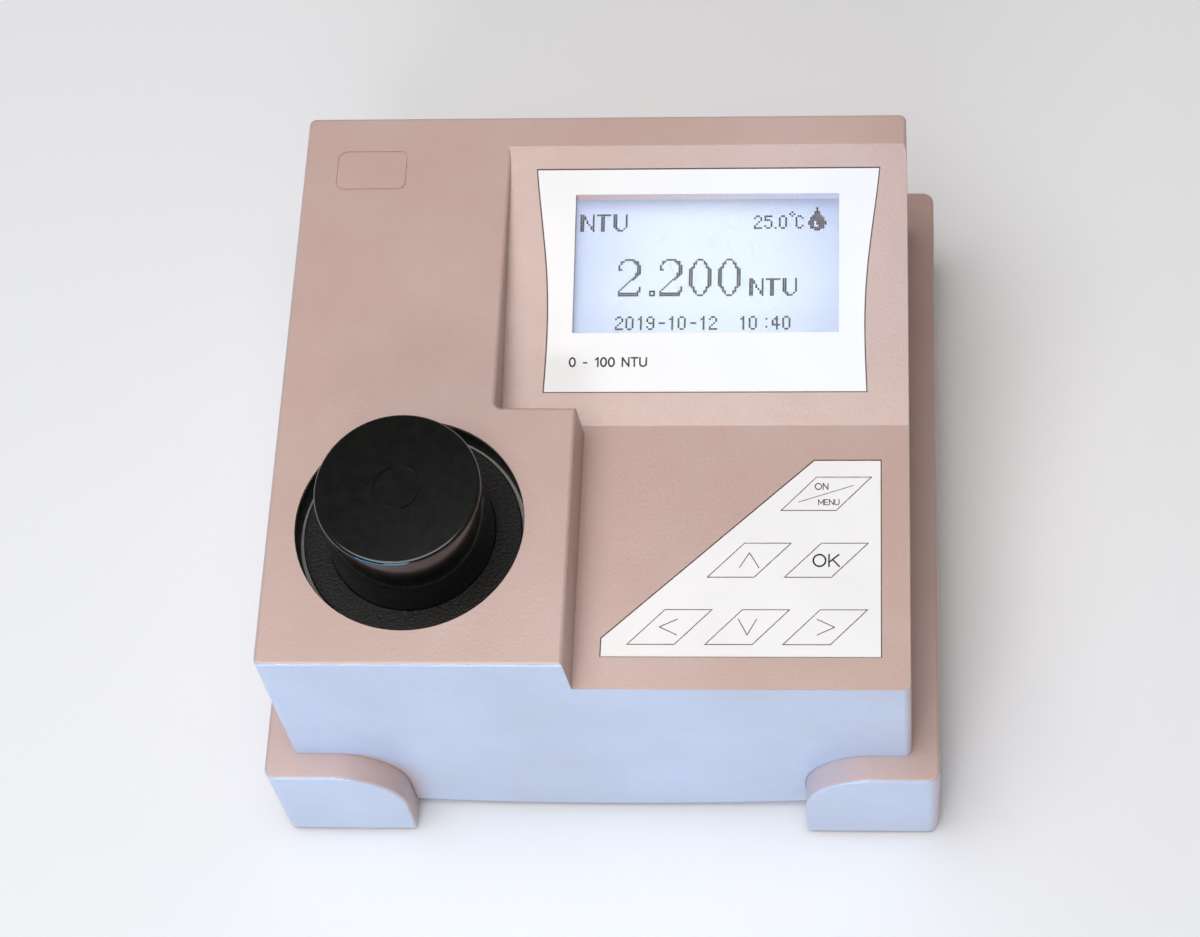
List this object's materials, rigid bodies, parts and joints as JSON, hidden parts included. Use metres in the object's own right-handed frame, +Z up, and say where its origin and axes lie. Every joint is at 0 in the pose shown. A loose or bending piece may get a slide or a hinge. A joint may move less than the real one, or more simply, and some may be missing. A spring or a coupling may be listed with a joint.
{
  "type": "turbidity meter",
  "caption": "Bench turbidity meter: stepped plastic case with a sloping display, a touch keypad and a capped sample well over a light-scatter optical block.",
  "frame": {"origin": "centre of the footprint, on the bench", "axes": "+Z up, +Y towards the back, +X to the right of the person who reads the display"},
  "size_m": [0.1676, 0.1696, 0.112],
  "materials": {
    "housing": "fine moulded texture, matt warm beige",
    "rubber": "matt",
    "black_plastic": "fine grained, satin",
    "grey_felt": "felt",
    "foam": "soft foam",
    "steel": "zinc plated",
    "dome_steel": "polished",
    "label": "white polyester, satin",
    "clear": "clear",
    "lcd": "pale blue, lit from behind",
    "backlight": "milky diffuser",
    "green_board": "green solder mask",
    "film": "polyester film",
    "anodised": "black anodised, satin",
    "emitter": "clear epoxy",
    "chip": "moulded epoxy",
    "connector": "moulded, natural nylon",
    "heat_sink": "bare",
    "wire": "pvc insulation"
  },
  "bodies": {
    "case": {"aperture_disc": "anodised", "base_tray": "housing", "block_screws": "steel", "board_chips": "chip", "board_connectors": "connector", "board_screws": "steel", "buzzer": "chip", "coin_cell": "steel", "coin_cell_holder": "chip", "collimator_lens": "clear", "cover_screws": "steel", "dc_inlet": "chip", "detector_screws": "steel", "display_label": "label", "display_window": "clear", "dome_down": "dome_steel", "dome_left": "dome_steel", "dome_ok": "dome_steel", "dome_power": "dome_steel", "dome_right": "dome_steel", "dome_up": "dome_steel", "heat_sink": "heat_sink", "inlet_nut": "steel", "keypad_circuit": "film", "keypad_label": "label", "keypad_spacer": "film", "keypad_tail": "film", "lamp_board": "green_board", "lamp_holder": "anodised", "lamp_lead": "wire", "lamp_led": "emitter", "lcd_backlight": "backlight", "lcd_bezel": "steel", "lcd_board": "green_board", "lcd_glass": "lcd", "lcd_ribbon": "wire", "lcd_screws": "steel", "lens_retainer": "anodised", "main_board": "green_board", "optical_block": "anodised", "rubber_feet": "rubber", "scatter_board": "green_board", "scatter_detector": "steel", "scatter_lead": "wire", "seal_ring": "grey_felt", "top_cover": "housing", "transmission_board": "green_board", "transmission_detector": "steel", "transmission_lead": "wire", "well_collar": "black_plastic", "well_insert": "black_plastic", "well_screws": "steel"},
    "cap": {"cap_shell": "black_plastic", "cap_pad": "foam"},
    "power_key": {"key_power": "label"},
    "up_key": {"key_up": "label"},
    "ok_key": {"key_ok": "label"},
    "left_key": {"key_left": "label"},
    "down_key": {"key_down": "label"},
    "right_key": {"key_right": "label"}
  },
  "joints": [
    {"name": "cap_lift", "type": "slide", "parent": "case", "child": "cap", "axis": [0, 0, 1], "range_m": [0, 0.1]},
    {"name": "power_press", "type": "slide", "parent": "case", "child": "power_key", "axis": [0, 0, -1], "range_m": [0, 0.00035], "stiffness_N_per_m": 4000, "deforming": ["dome_power"]},
    {"name": "up_press", "type": "slide", "parent": "case", "child": "up_key", "axis": [0, 0, -1], "range_m": [0, 0.00035], "stiffness_N_per_m": 4000, "deforming": ["dome_up"]},
    {"name": "ok_press", "type": "slide", "parent": "case", "child": "ok_key", "axis": [0, 0, -1], "range_m": [0, 0.00035], "stiffness_N_per_m": 4000, "deforming": ["dome_ok"]},
    {"name": "left_press", "type": "slide", "parent": "case", "child": "left_key", "axis": [0, 0, -1], "range_m": [0, 0.00035], "stiffness_N_per_m": 4000, "deforming": ["dome_left"]},
    {"name": "down_press", "type": "slide", "parent": "case", "child": "down_key", "axis": [0, 0, -1], "range_m": [0, 0.00035], "stiffness_N_per_m": 4000, "deforming": ["dome_down"]},
    {"name": "right_press", "type": "slide", "parent": "case", "child": "right_key", "axis": [0, 0, -1], "range_m": [0, 0.00035], "stiffness_N_per_m": 4000, "deforming": ["dome_right"]}
  ]
}
